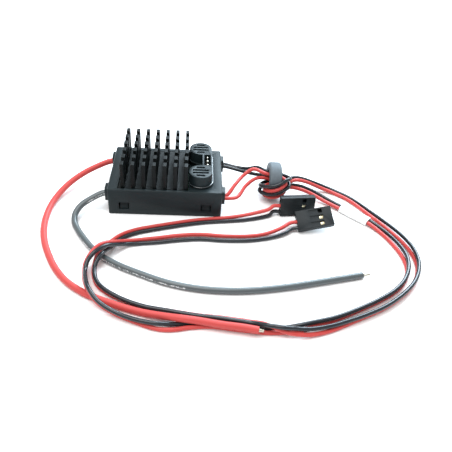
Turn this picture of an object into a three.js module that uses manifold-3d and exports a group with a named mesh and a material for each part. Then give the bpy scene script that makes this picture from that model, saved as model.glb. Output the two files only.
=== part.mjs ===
// A stand-alone switching regulator for a radio-control model: a finned plastic case with two
// heavy supply leads, and two twin output leads that pass through a ferrite core and end in
// three-way plugs. Millimetres, +Z up. The origin is the middle of the case's underside, +X runs
// along the case towards the output leads, and the whole object stands on the plane z = 0.
import * as THREE from "three";
import { mergeVertices } from "three/addons/utils/BufferGeometryUtils.js";
import Module from "manifold-3d";

const wasm = await Module();
wasm.setup();

// ---- Driving dimensions ----
const GAP = 0.3; // clearance kept between neighbouring pieces
const WELD = 1e-4; // vertices nearer than this are one vertex
const EPS = 0.1; // overshoot of a cutting tool past the face it opens

const CASE = {
  length: 44,
  width: 31,
  height: 11.5,
  wall: 1.2,
  roof: 1.4,
  corner: 0.7,
  inner: 0.7,
  edge: 0.3,
};
const PLATE = { thickness: 1.5, post: 2.4 };
const COLLAR = { out: 1.2, y: 11.3, width: 5, bottom: 4.6, top: 10.4, round: 1.1 };
const WINDOW = { x: 15.9, width: 4, bottom: 2.4, top: 5.6 };
const TONGUE = { width: 3.2, thick: 0.8, top: 5.2 };

const SINK = { left: -17.9, right: 8.6, front: -14, rear: 13.2, bottom: 8.8, flange: 1, lip: 0.9 };
const PIN = { width: 1.55, depth: 2.7, top: 22, columns: 7, rows: 6, pitchX: 4, pitchY: 4.9 };
const PIN_FIELD = { x: -4.2, y: -0.4 };

const TURRET = { x: 13.4, y: 8.3, radius: 4.5, top: 16.6, wall: 0.6, cap: 0.9 };
const BRIDGE = { left: 14.1, right: 17.9 };
const WELL = { left: 14.75, right: 17.45, half: 3.85, floor: 10.9 };
const FOOT = { out: 0.45, thick: 0.5 };
const VENTS = [
  { y: 2.7, half: 1.6 },
  { y: 0.9, half: 3.1 },
  { y: -0.9, half: 3.1 },
  { y: -2.7, half: 1.6 },
];
const VENT_WIDTH = 1;

const BOARD = { length: 40, width: 25.2, bottom: 3.4, thickness: 1.6 };
const HEADER = { x: 16.1, pitch: 2.54, pin: 0.64, top: 16.2, bodyBottom: 11.2, bodyTop: 13.7 };

const HEAVY = { radius: 1.2, exitZ: 6.9, inner: 18.3 };
const THIN = { radius: 0.75, pitch: 1.8, exitZ: 6.9, inner: 18.6 };
const SIDES = 8; // facets round a lead

const CORE = { x: 44.1, y: 1.7, outer: 7.2, inner: 4.4, half: 2.6, round: 1, sides: 36 };
CORE.z = CORE.outer + 0.05;
const TURN = { away: 182, across: 4.2, deep: 3.5, middle: 5.25, shift: 3.8, apart: 2.12, steps: 14 };

const PLUG = { length: 14, width: 7.9, thick: 2.6, way: 2.54, channel: 1.9, socket: 0.9, front: 11.2 };
const PLUG_REAR = { at: [45.6, -11.75, 0.15], heading: 5.7, climb: 0, tilt: 80 };
const PLUG_FRONT = { at: [52.3, -23.6, 0.15], heading: 6, climb: 10, tilt: 27 };

// ---- Finishes ----
const FINISH = {
  case: { color: 0x2a3030, roughness: 0.55, metalness: 0 },
  anodised: { color: 0x15181a, roughness: 0.4, metalness: 0.7 },
  board: { color: 0x1c4a2e, roughness: 0.6, metalness: 0 },
  chip: { color: 0x1b1b1d, roughness: 0.5, metalness: 0 },
  tin: { color: 0xc9ccd0, roughness: 0.3, metalness: 0.9 },
  pad: { color: 0x9aa7b0, roughness: 0.9, metalness: 0 },
  ferrite: { color: 0x6f7c84, roughness: 0.85, metalness: 0 },
  red: { color: 0xcf3f3f, roughness: 0.5, metalness: 0 },
  black: { color: 0x1d2020, roughness: 0.35, metalness: 0 },
  sleeve: { color: 0xf2f2ef, roughness: 0.6, metalness: 0 },
};

const part = new THREE.Group();

function piece(name, geometry, finish) {
  const mesh = new THREE.Mesh(geometry, new THREE.MeshStandardMaterial(FINISH[finish]));
  mesh.name = name;
  part.add(mesh);
  return mesh;
}

// ---- Joining and cutting ----
function solid(geometry) {
  const bare = geometry.clone();
  bare.deleteAttribute("normal");
  bare.deleteAttribute("uv");
  const merged = mergeVertices(bare, WELD);
  const vertProperties = merged.attributes.position.array;
  const triVerts = new Uint32Array(merged.index.array);
  return new wasm.Manifold(new wasm.Mesh({ numProp: 3, vertProperties, triVerts }));
}

function geometryOf(body) {
  const mesh = body.getMesh();
  const indexed = new THREE.BufferGeometry();
  indexed.setAttribute("position", new THREE.BufferAttribute(new Float32Array(mesh.vertProperties), 3));
  indexed.setIndex(new THREE.BufferAttribute(new Uint32Array(mesh.triVerts), 1));
  const geometry = indexed.toNonIndexed();
  geometry.computeVertexNormals();
  return geometry;
}

function join(parts) {
  return geometryOf(parts.map(solid).reduce((sum, next) => sum.add(next)));
}

function cut(base, tools) {
  return geometryOf(tools.map(solid).reduce((rest, tool) => rest.subtract(tool), solid(base)));
}

// ---- Basic shapes ----
function block(x0, x1, y0, y1, z0, z1) {
  const box = new THREE.BoxGeometry(x1 - x0, y1 - y0, z1 - z0);
  return box.translate((x0 + x1) / 2, (y0 + y1) / 2, (z0 + z1) / 2);
}

function post(x, y, radius, z0, z1, sides = 24) {
  const can = new THREE.CylinderGeometry(radius, radius, z1 - z0, sides);
  return can.rotateX(Math.PI / 2).translate(x, y, (z0 + z1) / 2);
}

function roundedRectangle(width, height, radius) {
  const x = width / 2 - radius;
  const y = height / 2 - radius;
  const outline = new THREE.Shape();
  outline.absarc(x, y, radius, 0, Math.PI / 2);
  outline.absarc(-x, y, radius, Math.PI / 2, Math.PI);
  outline.absarc(-x, -y, radius, Math.PI, 1.5 * Math.PI);
  outline.absarc(x, -y, radius, 1.5 * Math.PI, 2 * Math.PI);
  return outline;
}

function upright(outline, z0, z1, curveSegments = 5) {
  const options = { depth: z1 - z0, bevelEnabled: false, curveSegments };
  return new THREE.ExtrudeGeometry(outline, options).translate(0, 0, z0);
}

// A rounded bar that runs along X, used for a lead's collar and for the hole through it.
function barAlongX(x0, x1, y, z, width, height, radius) {
  const outline = roundedRectangle(width, height, radius);
  const bar = upright(outline, 0, x1 - x0, 4);
  bar.rotateX(Math.PI / 2).rotateZ(Math.PI / 2);
  return bar.translate(x0, y, z);
}

// ---- Case ----
// The cover's outer block has a small chamfer along its upper edge.
function caseBlock() {
  const outline = roundedRectangle(
    CASE.length - 2 * CASE.edge,
    CASE.width - 2 * CASE.edge,
    CASE.corner - CASE.edge,
  );
  const bevelled = new THREE.ExtrudeGeometry(outline, {
    depth: CASE.height,
    bevelThickness: CASE.edge,
    bevelSize: CASE.edge,
    bevelSegments: 1,
    curveSegments: 4,
  });
  bevelled.translate(0, 0, -CASE.edge);
  const below = block(-CASE.length, CASE.length, -CASE.width, CASE.width, -CASE.height, 0);
  return cut(bevelled, [below]);
}

function leadHole(side, y, width, height) {
  const from = CASE.length / 2 - CASE.wall - EPS;
  const to = CASE.length / 2 + COLLAR.out + EPS;
  const [x0, x1] = side > 0 ? [from, to] : [-to, -from];
  return barAlongX(x0, x1, y, HEAVY.exitZ, width, height, height / 2 - 0.01);
}

function turretPlan(extra, curveSegments = 12) {
  const discs = [-1, 1].map((way) =>
    post(TURRET.x, way * TURRET.y, TURRET.radius + extra, 0, 1, 2 * curveSegments),
  );
  const bridge = block(
    BRIDGE.left - extra,
    BRIDGE.right + extra,
    -TURRET.y,
    TURRET.y,
    0,
    1,
  );
  return join([...discs, bridge]);
}

// The outline of the two turrets and their bridge, raised between two heights.
function turretBlock(extra, z0, z1) {
  return turretPlan(extra).scale(1, 1, z1 - z0).translate(0, 0, z0);
}

function caseCover() {
  const { length, width, height, wall, roof } = CASE;
  const collars = [-1, 1].flatMap((end) =>
    [-1, 1].map((side) => {
      const x = end * (length / 2 - wall / 2);
      const out = end * (length / 2 + COLLAR.out);
      const middle = (COLLAR.bottom + COLLAR.top) / 2;
      const tall = COLLAR.top - COLLAR.bottom;
      const [x0, x1] = [Math.min(x, out), Math.max(x, out)];
      return barAlongX(x0, x1, side * COLLAR.y, middle, COLLAR.width, tall, COLLAR.round);
    }),
  );
  const shell = join([caseBlock(), ...collars]);
  const inside = upright(
    roundedRectangle(length - 2 * wall, width - 2 * wall, CASE.inner),
    -EPS,
    height - roof,
  );
  const sinkHole = block(
    SINK.left - GAP,
    SINK.right + GAP,
    SINK.front - GAP,
    SINK.rear + GAP,
    height - roof - EPS,
    height + EPS,
  );
  const turretHole = turretBlock(GAP, height - roof - EPS, height + EPS);
  const gullet = block(
    SINK.right,
    BRIDGE.left,
    -TURRET.y,
    TURRET.y,
    height - roof - EPS,
    height + EPS,
  );
  const windows = [-1, 1].flatMap((end) =>
    [-1, 1].map((side) => {
      const y = side * (width / 2 - wall / 2);
      return block(
        end * WINDOW.x - WINDOW.width / 2,
        end * WINDOW.x + WINDOW.width / 2,
        y - wall,
        y + wall,
        WINDOW.bottom,
        WINDOW.top,
      );
    }),
  );
  const heavy = 2 * (HEAVY.radius + GAP);
  const thinTall = 2 * (THIN.radius + GAP);
  const holes = [
    leadHole(-1, COLLAR.y, heavy, heavy),
    leadHole(-1, -COLLAR.y, heavy, heavy),
    leadHole(1, COLLAR.y, thinTall + THIN.pitch, thinTall),
    leadHole(1, -COLLAR.y, thinTall + THIN.pitch, thinTall),
  ];
  return cut(shell, [inside, sinkHole, turretHole, gullet, ...windows, ...holes]);
}

// A snap tongue stands up from the plate, and its barb reaches into the cover's window.
function tongue(end, side) {
  const outer = side * (CASE.width / 2 - CASE.wall - GAP);
  const inner = outer - side * TONGUE.thick;
  const tip = side * (CASE.width / 2 - 0.4);
  const profile = new THREE.Shape();
  profile.moveTo(inner, PLATE.thickness - EPS);
  profile.lineTo(outer, PLATE.thickness - EPS);
  profile.lineTo(outer, WINDOW.bottom + GAP);
  profile.lineTo(tip, WINDOW.bottom + GAP);
  profile.lineTo(outer, TONGUE.top);
  profile.lineTo(inner, TONGUE.top);
  profile.closePath();
  const blade = new THREE.ExtrudeGeometry(profile, { depth: TONGUE.width, bevelEnabled: false });
  blade.rotateX(Math.PI / 2).rotateZ(Math.PI / 2);
  return blade.translate(end * WINDOW.x - TONGUE.width / 2, 0, 0);
}

function basePlate() {
  const rim = CASE.wall + GAP;
  const outline = roundedRectangle(CASE.length - 2 * rim, CASE.width - 2 * rim, 0.6);
  const plate = upright(outline, 0, PLATE.thickness);
  const ends = [-1, 1];
  const tongues = ends.flatMap((end) => ends.map((side) => tongue(end, side)));
  const posts = ends.flatMap((end) =>
    ends.map((side) => {
      const x = end * (BOARD.length / 2 - PLATE.post);
      const y = side * (BOARD.width / 2 - PLATE.post);
      return post(x, y, PLATE.post / 2, PLATE.thickness - EPS, BOARD.bottom - GAP, 12);
    }),
  );
  return join([plate, ...tongues, ...posts]);
}

piece("case_cover", caseCover(), "case");
piece("base_plate", basePlate(), "case");

// ---- Heat sink ----
function heatSink() {
  const top = CASE.height;
  const body = block(SINK.left, SINK.right, SINK.front, SINK.rear, SINK.bottom, top);
  const flange = block(
    SINK.left - SINK.lip,
    SINK.right,
    SINK.front,
    SINK.rear + SINK.lip,
    SINK.bottom,
    SINK.bottom + SINK.flange,
  );
  const pins = [];
  for (let column = 0; column < PIN.columns; column += 1) {
    const x = PIN_FIELD.x + (column - (PIN.columns - 1) / 2) * PIN.pitchX;
    for (let row = 0; row < PIN.rows; row += 1) {
      const y = PIN_FIELD.y + (row - (PIN.rows - 1) / 2) * PIN.pitchY;
      const half = { x: PIN.width / 2, y: PIN.depth / 2 };
      pins.push(block(x - half.x, x + half.x, y - half.y, y + half.y, top - EPS, PIN.top));
    }
  }
  return join([body, flange, ...pins]);
}

piece("heat_sink", heatSink(), "anodised");

// ---- Capacitor shroud: two vented turrets and the bridge that holds the header's well ----
function capacitorShroud() {
  const seat = CASE.height - CASE.roof - GAP;
  const skirtLeft = SINK.right + GAP;
  const walls = turretBlock(0, seat, TURRET.top);
  const foot = turretBlock(FOOT.out, CASE.height + GAP, CASE.height + GAP + FOOT.thick);
  const skirt = block(skirtLeft, BRIDGE.right + 1, -TURRET.y - 4, TURRET.y + 4, seat - 1, seat);
  const hollows = [-1, 1].map((way) =>
    post(
      TURRET.x,
      way * TURRET.y,
      TURRET.radius - TURRET.wall,
      seat - 1 - EPS,
      TURRET.top - TURRET.cap,
      24,
    ),
  );
  const vents = [-1, 1].flatMap((way) =>
    VENTS.map((vent) =>
      block(
        TURRET.x - vent.half,
        TURRET.x + vent.half,
        way * TURRET.y + vent.y - VENT_WIDTH / 2,
        way * TURRET.y + vent.y + VENT_WIDTH / 2,
        TURRET.top - TURRET.cap - EPS,
        TURRET.top + EPS,
      ),
    ),
  );
  const well = block(
    WELL.left,
    WELL.right,
    -WELL.half,
    WELL.half,
    WELL.floor,
    TURRET.top + EPS,
  );
  const pinSlot = block(
    HEADER.x - HEADER.pin,
    HEADER.x + HEADER.pin,
    -HEADER.pitch - HEADER.pin,
    HEADER.pitch + HEADER.pin,
    seat - 1 - EPS,
    WELL.floor + EPS,
  );
  const sinkSide = block(-CASE.length, skirtLeft, -CASE.width, CASE.width, 0, 2 * TURRET.top);
  return cut(join([walls, foot, skirt]), [...hollows, ...vents, well, pinSlot, sinkSide]);
}

piece("capacitor_shroud", capacitorShroud(), "case");

// ---- Header ----
const pinRows = [1, 0, -1].map((row) => row * HEADER.pitch);

function headerBody() {
  const half = HEADER.pitch / 2 - 0.05;
  const long = 1.5 * HEADER.pitch - 0.1;
  const body = block(
    HEADER.x - half,
    HEADER.x + half,
    -long,
    long,
    HEADER.bodyBottom,
    HEADER.bodyTop,
  );
  const reach = HEADER.pin / 2 + 0.2;
  const holes = pinRows.map((y) =>
    block(HEADER.x - reach, HEADER.x + reach, y - reach, y + reach, 0, HEADER.top),
  );
  return cut(body, holes);
}

piece("header_body", headerBody(), "chip");
const boardTop = BOARD.bottom + BOARD.thickness;
const onBoard = boardTop + GAP;
pinRows.forEach((y, index) => {
  const reach = HEADER.pin / 2;
  const pin = block(
    HEADER.x - reach,
    HEADER.x + reach,
    y - reach,
    y + reach,
    onBoard,
    HEADER.top,
  );
  piece(`header_pin_${index + 1}`, pin, "tin");
});

// ---- Electronics inside the case ----
const half = { x: BOARD.length / 2, y: BOARD.width / 2 };
piece("circuit_board", block(-half.x, half.x, -half.y, half.y, BOARD.bottom, boardTop), "board");

const TRANSISTOR = { x: -12, width: 6.6, depth: 6.1, height: 2.3, spread: 8.5 };
[1, -1].forEach((side, index) => {
  const y = (side * TRANSISTOR.spread) / 2;
  const body = block(
    TRANSISTOR.x - TRANSISTOR.width / 2,
    TRANSISTOR.x + TRANSISTOR.width / 2,
    y - TRANSISTOR.depth / 2,
    y + TRANSISTOR.depth / 2,
    onBoard,
    onBoard + TRANSISTOR.height,
  );
  piece(`power_transistor_${index + 1}`, body, "chip");
});

const PAD = { x: [-16, 4], y: [-8.5, 8.5] };
const padBottom = onBoard + TRANSISTOR.height + GAP;
piece("thermal_pad", block(...PAD.x, ...PAD.y, padBottom, SINK.bottom - GAP), "pad");

const COIL = { x: 2.6, y: 5, radius: 3.9, height: 2.3 };
piece("inductor", post(COIL.x, COIL.y, COIL.radius, onBoard, onBoard + COIL.height, 20), "ferrite");
const DIODE = { x: [-5.6, -1.2], y: [-1.9, 0.9], height: 2 };
const CHIP = { x: [-2, 3], y: [-8.3, -4.4], height: 1.5 };
const RESISTOR = { x: [-17.6, -16.3], y: [-2, 2], height: 0.6 };
const soldered = ({ x, y, height }) => block(...x, ...y, onBoard, onBoard + height);
piece("rectifier_diode", soldered(DIODE), "chip");
piece("controller_chip", soldered(CHIP), "chip");
piece("sense_resistor", soldered(RESISTOR), "chip");

const CAN = { radius: 3.15, top: 15.3 };
["front", "rear"].forEach((place, index) => {
  const y = (index * 2 - 1) * TURRET.y;
  piece(`capacitor_${place}`, post(TURRET.x, y, CAN.radius, onBoard, CAN.top, 24), "tin");
});

// ---- Leads ----
// A lead's sections stand at equal steps of its curve's own parameter, so they follow the points
// listed for it and are closest together where those points are. It never sinks into the floor.
class Route extends THREE.CatmullRomCurve3 {
  getPoint(t, target) {
    const point = super.getPoint(t, target);
    point.z = Math.max(point.z, this.rest);
    return point;
  }

  getPointAt(u, target) {
    return this.getPoint(u, target);
  }

  getTangentAt(u, target) {
    return this.getTangent(u, target);
  }

  getSpacedPoints(count) {
    return this.getPoints(count);
  }
}

function lead(name, points, radius, stepsPerPoint, finish) {
  const route = new Route(
    points.map((p) => new THREE.Vector3(...p)),
    false,
    "centripetal",
  );
  route.rest = radius + 0.04;
  const section = new THREE.Shape();
  section.absarc(0, 0, radius, 0, 2 * Math.PI);
  const options = {
    steps: Math.round((points.length - 1) * stepsPerPoint),
    extrudePath: route,
    curveSegments: SIDES / 2,
  };
  const mesh = piece(name, new THREE.ExtrudeGeometry(section, options), finish);
  mesh.userData = { route, radius };
  return mesh;
}

// Supply leads: out of their collars at the case's left end, down to the floor and round in front.
const RED_SUPPLY = [
  [-HEAVY.inner, COLLAR.y, HEAVY.exitZ],
  [-21, COLLAR.y, HEAVY.exitZ],
  [-24.2, 11.2, 6.8],
  [-29.7, 8.4, 5.8],
  [-35.4, 3.8, 4.6],
  [-39.6, -1.2, 3.4],
  [-42.7, -6.9, 2.2],
  [-44.5, -13.2, 1.4],
  [-44.8, -20.8, 1.2],
  [-43.9, -28.2, 1.2],
  [-41.9, -35.2, 1.2],
  [-39, -41.7, 1.2],
  [-35.6, -47.7, 1.2],
  [-31.2, -53.2, 1.2],
  [-25.7, -57.7, 1.2],
  [-20.3, -60.7, 1.2],
  [-15, -62.9, 1.2],
  [-9.1, -65.1, 1.2],
  [-3, -67, 1.4],
  [3, -68.8, 2.25],
  [8.6, -70.2, 3.05],
  [14, -70.9, 2.9],
  [21, -72.1, 2.75],
  [28, -73.1, 2.75],
  [32.3, -73.9, 2.65],
];
const BLACK_SUPPLY = [
  [-HEAVY.inner, -COLLAR.y, HEAVY.exitZ],
  [-21, -COLLAR.y, HEAVY.exitZ],
  [-24.2, -11.4, 6.8],
  [-28.6, -13.4, 5.4],
  [-32.1, -16, 4],
  [-33.9, -19.4, 2.5],
  [-33.6, -23.2, 1.5],
  [-31.7, -27.3, 1.2],
  [-28.6, -32.2, 1.2],
  [-25, -37, 1.2],
  [-20.4, -41.6, 1.2],
  [-14.1, -45.7, 1.2],
  [-6.9, -49.2, 1.2],
  [2.6, -53.2, 1.2],
  [12.3, -55.5, 1.2],
  [22.4, -56.3, 1.2],
  [32.4, -55.8, 1.2],
  [44.5, -53.8, 1.2],
  [57, -50.9, 1.2],
  [71.8, -47.3, 1.2],
];
const TIP = { radius: 0.8, black: 3, red: 1.6 };
lead("supply_lead_red", RED_SUPPLY, HEAVY.radius, 2, "red");
lead("supply_lead_black", BLACK_SUPPLY, HEAVY.radius, 2, "black");

// The stripped and tinned end of a supply lead carries on in line with its last stretch.
function leadTip(name, points, length) {
  const end = new THREE.Vector3(...points[points.length - 1]);
  const before = new THREE.Vector3(...points[points.length - 2]);
  const way = end.clone().sub(before).normalize();
  const rod = new THREE.CylinderGeometry(TIP.radius, TIP.radius, length, 10);
  rod.applyQuaternion(new THREE.Quaternion().setFromUnitVectors(new THREE.Vector3(0, 1, 0), way));
  const middle = end.addScaledVector(way, GAP + length / 2);
  return piece(name, rod.translate(middle.x, middle.y, middle.z), "tin");
}

leadTip("supply_tip_red", RED_SUPPLY, TIP.red);
leadTip("supply_tip_black", BLACK_SUPPLY, TIP.black);

// ---- Ferrite core and the leads' turn round it ----
function coreRing() {
  const { outer, inner, half: side, round } = CORE;
  const profile = new THREE.Path();
  profile.absarc(outer - round, side - round, round, 0, Math.PI / 2);
  profile.absarc(inner + round, side - round, round, Math.PI / 2, Math.PI);
  profile.absarc(inner + round, round - side, round, Math.PI, 1.5 * Math.PI);
  profile.absarc(outer - round, round - side, round, 1.5 * Math.PI, 2 * Math.PI);
  const outline = profile.getPoints(1);
  const closed = [...outline, outline[0]];
  const ring = new THREE.LatheGeometry(closed, CORE.sides);
  return ring.rotateZ(-Math.PI / 2).translate(CORE.x, CORE.y, CORE.z);
}

piece("ferrite_core", coreRing(), "ferrite");

const degrees = THREE.MathUtils.degToRad;
const smooth = (value, low, high) => THREE.MathUtils.smoothstep(value, low, high);

// A place near the core: x along its axis, rho away from the axis towards the side where the
// turns lie, and t square to both. Outside the core t bends round it, inside the hole it is straight.
function nearCore(x, rho, t) {
  const away = degrees(TURN.away);
  const bent = smooth(rho, 3, 7);
  const turned = away + (t / Math.max(rho, 3)) * bent;
  const straight = t * (1 - bent);
  const y = CORE.y + rho * Math.cos(turned) + straight * Math.cos(away + Math.PI / 2);
  const z = CORE.z + rho * Math.sin(turned) + straight * Math.sin(away + Math.PI / 2);
  return [CORE.x + x, y, z];
}

// One lead's turn: through the hole, back over the outside and through the hole again. In the hole
// the black lead of a pair lies over the red one, and outside the four of them lie side by side.
function turn({ start, over, aside }) {
  const points = [];
  for (let step = 0; step <= TURN.steps; step += 1) {
    const angle = degrees(-90 + (360 * step) / TURN.steps);
    const rise = smooth(Math.sin(angle), -0.75, 0.95);
    const normal = new THREE.Vector2(
      Math.cos(angle) / TURN.across,
      Math.sin(angle) / TURN.deep,
    ).normalize();
    const roll = (Math.PI / 2) * rise;
    const out = over * TURN.apart * Math.cos(roll);
    const t = start + TURN.shift * smooth(step / TURN.steps, 0.2, 0.8);
    const x = TURN.across * Math.cos(angle) + out * normal.x;
    const rho = TURN.middle + TURN.deep * Math.sin(angle) + out * normal.y;
    points.push(nearCore(x, rho, t + aside * TURN.apart * Math.sin(roll)));
  }
  return points;
}

// ---- Output leads ----
// A pair's route lists x, y, the height of its lower lead's axis, its roll and its pitch. Black
// lies to the left of the way the pair runs at 0 degrees, on top at 90 and to the right at 180.
function twin(route) {
  const black = [];
  const red = [];
  route.forEach(([x, y, low, roll, pitch = THIN.pitch], index) => {
    const before = route[Math.max(0, index - 1)];
    const after = route[Math.min(route.length - 1, index + 1)];
    const way = new THREE.Vector2(after[0] - before[0], after[1] - before[1]).normalize();
    const side = (pitch / 2) * Math.cos(degrees(roll));
    const lift = (pitch / 2) * Math.sin(degrees(roll));
    const z = low + Math.abs(lift);
    black.push([x - way.y * side, y + way.x * side, z + lift]);
    red.push([x + way.y * side, y - way.x * side, z - lift]);
  });
  return { black, red };
}

const REAR_PAIR = [
  [49.3, 1.1, 6.6, 0],
  [52.8, 2, 7.7, 0, 2],
  [57.5, 3.9, 5.9, 0, 2.2],
  [62, 4.8, 3.7, 0, 2.2],
  [66.5, 4.8, 1.9, 0, 2.1],
  [71.5, 3, 0.9, 0],
  [77.4, -1.9, 0.75, 0],
  [83.1, -10.3, 0.75, 10],
  [88.7, -19.4, 0.75, 25],
  [92.3, -26.8, 0.75, 45],
  [94.2, -33.5, 0.75, 65],
  [94.3, -40.1, 0.75, 82],
  [92.6, -45.7, 0.75, 88],
  [89.3, -51.1, 0.75, 84],
  [83.7, -56.7, 0.75, 78],
  [75.9, -62.4, 0.75, 74],
  [68, -66.5, 0.75, 76],
  [61.6, -69.4, 0.75, 88],
  [55.7, -71.8, 0.75, 108],
  [48.9, -73.6, 1.2, 128],
  [44.9, -74.1, 1.9, 132, 1.75],
  [42.2, -74.4, 2.45, 112, 1.75],
  [39.7, -74.1, 2.75, 86, 1.75],
  [37.7, -73.3, 2.7, 64],
  [35.5, -72.6, 2.65, 48, 2.05],
  [33.4, -71.3, 1.8, 40, 2.5],
  [30.3, -70, 0.8, 42, 2.5],
  [25.2, -69.1, 0.75, 43, 2.45],
  [19.8, -68.3, 0.75, 45, 2.4],
  [14.4, -67.7, 0.75, 47, 2.25],
  [9.3, -66.8, 0.75, 48, 2],
  [3.3, -65.6, 0.75, 50, 1.9],
  [-3.2, -64.4, 0.75, 54],
  [-8.7, -62.6, 0.75, 60],
  [-13.4, -60.4, 0.75, 70],
  [-17.5, -57.7, 0.75, 80],
  [-20.3, -54.7, 0.75, 90],
  [-21.8, -51.2, 0.75, 98],
  [-22.3, -47.8, 1.4, 110],
  [-21.7, -44.9, 2.8, 132],
  [-20.8, -41.8, 3.6, 165],
  [-19.8, -38.3, 2.5, 180],
  [-18.8, -35.4, 1.4, 180],
  [-17.4, -32.4, 0.8, 180],
  [-14.6, -29.3, 0.75, 180],
  [-10.5, -26.8, 0.75, 180],
  [-5, -24.8, 0.75, 180],
  [1.5, -22.8, 0.75, 180],
  [8.5, -20.8, 0.75, 180],
  [16, -19.1, 0.75, 180],
  [24, -18, 0.75, 186],
  [31, -16.9, 0.75, 205, 2],
  [37, -15.5, 0.8, 232, 2.2],
  [41.4, -14.1, 1.05, 252, 2.5],
];
const FRONT_PAIR = [
  [49.3, 0.9, 4.7, 0],
  [53, 0.5, 4.9, 0, 2],
  [57, 0.1, 4.2, 0, 2.3],
  [61.5, -1.2, 2.9, 0, 2.3],
  [66, -3.9, 1.8, 0, 2.2],
  [71.3, -8.2, 1.45, 0],
  [76.7, -12.9, 1.45, 0],
  [82, -17.9, 1.45, 0],
  [86.3, -23.5, 0.8, 12],
  [89.1, -30.5, 0.75, 35],
  [90.3, -37.1, 0.75, 60],
  [89.6, -43.3, 0.75, 84],
  [86.5, -49.7, 0.75, 92],
  [81.4, -55, 0.75, 84],
  [74.4, -59.6, 0.75, 76],
  [66.3, -63.9, 0.75, 74],
  [57.8, -67.9, 0.75, 84],
  [49.4, -70.6, 0.75, 108, 1.75],
  [44.9, -71.8, 0.75, 142, 1.7],
  [41.4, -72.2, 0.75, 168, 1.65],
  [37.8, -72.5, 0.75, 180, 1.65],
  [34.2, -72.5, 0.75, 180, 1.65],
  [29.8, -72, 0.75, 180, 1.65],
  [25, -71.4, 0.75, 180, 1.65],
  [20, -70.7, 0.75, 180, 1.65],
  [16.3, -70.5, 0.75, 180, 1.65],
  [13.1, -70.7, 0.75, 180, 1.7],
  [9.9, -71.1, 0.75, 178, 1.75],
  [6.6, -71.8, 0.75, 168],
  [3.4, -72.2, 0.75, 142],
  [0, -72.1, 0.75, 112],
  [-5.9, -70.4, 0.75, 80],
  [-12.2, -67.7, 0.9, 70],
  [-18.2, -64.5, 2.3, 78],
  [-21.9, -60.3, 3.6, 88],
  [-24.2, -54.4, 2.4, 98],
  [-25.2, -49.6, 1.4, 108],
  [-25, -46.7, 2.8, 124],
  [-23.3, -44, 4.8, 144],
  [-21.2, -41.3, 5.7, 170],
  [-19.2, -39.2, 5.3, 176],
  [-16.8, -37, 3.8, 180],
  [-13.2, -33.8, 1.4, 180],
  [-8.2, -32.4, 0.8, 180, 2],
  [-2, -31.3, 0.75, 180, 2.4],
  [6, -29.6, 0.75, 180, 2.6],
  [14, -28.7, 0.75, 180, 2.6],
  [23, -29.1, 0.75, 180, 2.6],
  [32.8, -28.6, 0.75, 180, 2.5],
  [40, -26.9, 0.8, 184, 2.5],
  [46, -24.5, 1.3, 198, 2.54],
];
const rear = twin(REAR_PAIR);
const front = twin(FRONT_PAIR);

// ---- Plugs ----
// A plug's own frame has x from the leads' end to the mating end, y across its ways from the
// black lead's side, and z from its plain face to the face with the latch windows.
function plugFrame({ at, heading, climb, tilt }) {
  const [turned, up, over] = [heading, climb, tilt].map(degrees);
  const along = new THREE.Vector3(
    Math.cos(up) * Math.cos(turned),
    Math.cos(up) * Math.sin(turned),
    Math.sin(up),
  );
  const side = new THREE.Vector3(-Math.sin(turned), Math.cos(turned), 0);
  const top = new THREE.Vector3().crossVectors(along, side);
  const across = side.clone().multiplyScalar(Math.cos(over)).addScaledVector(top, Math.sin(over));
  const face = new THREE.Vector3().crossVectors(along, across);
  return new THREE.Matrix4().makeBasis(along, across, face).setPosition(...at);
}

const wayAt = (number) => PLUG.width / 2 + (number - 2) * PLUG.way;
const WAYS = [1, 2, 3];
const LATCH = { from: 5.2, window: 8.8, to: 10.4, width: 1.7, sink: 0.35 };
const CONTACT = { from: 4.2, to: 10.9, width: 1.3 };

function plugHousing() {
  const middle = PLUG.thick / 2;
  const body = block(0, PLUG.length, 0, PLUG.width, 0, PLUG.thick);
  const reach = PLUG.channel / 2;
  const hole = PLUG.socket / 2;
  const ways = WAYS.flatMap((number) => {
    const y = wayAt(number);
    return [
      block(-EPS, PLUG.front, y - reach, y + reach, middle - reach, middle + reach),
      block(PLUG.front - EPS, PLUG.length + EPS, y - hole, y + hole, middle - hole, middle + hole),
      block(
        LATCH.window,
        LATCH.to,
        y - LATCH.width / 2,
        y + LATCH.width / 2,
        middle,
        PLUG.thick + EPS,
      ),
      block(
        LATCH.from,
        LATCH.window + EPS,
        y - LATCH.width / 2,
        y + LATCH.width / 2,
        PLUG.thick - LATCH.sink + 0.15,
        PLUG.thick + EPS,
      ),
    ];
  });
  return cut(body, ways);
}

const housing = plugHousing();

function plug(name, place, ends) {
  const frame = plugFrame(place);
  piece(`${name}_housing`, housing.clone().applyMatrix4(frame), "case");
  const middle = PLUG.thick / 2;
  const reach = CONTACT.width / 2;
  ["black", "red"].forEach((colour, index) => {
    const y = wayAt(index + 1);
    const contact = block(
      CONTACT.from,
      CONTACT.to,
      y - reach,
      y + reach,
      middle - reach,
      middle + reach,
    );
    piece(`${name}_contact_${colour}`, contact.applyMatrix4(frame), "tin");
    [-2.6, 0.2, 2.6].forEach((x) => {
      const place = new THREE.Vector3(x, y, middle).applyMatrix4(frame);
      ends[colour].push(place.toArray());
    });
  });
}

plug("plug_rear", PLUG_REAR, rear);
plug("plug_front", PLUG_FRONT, front);

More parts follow.
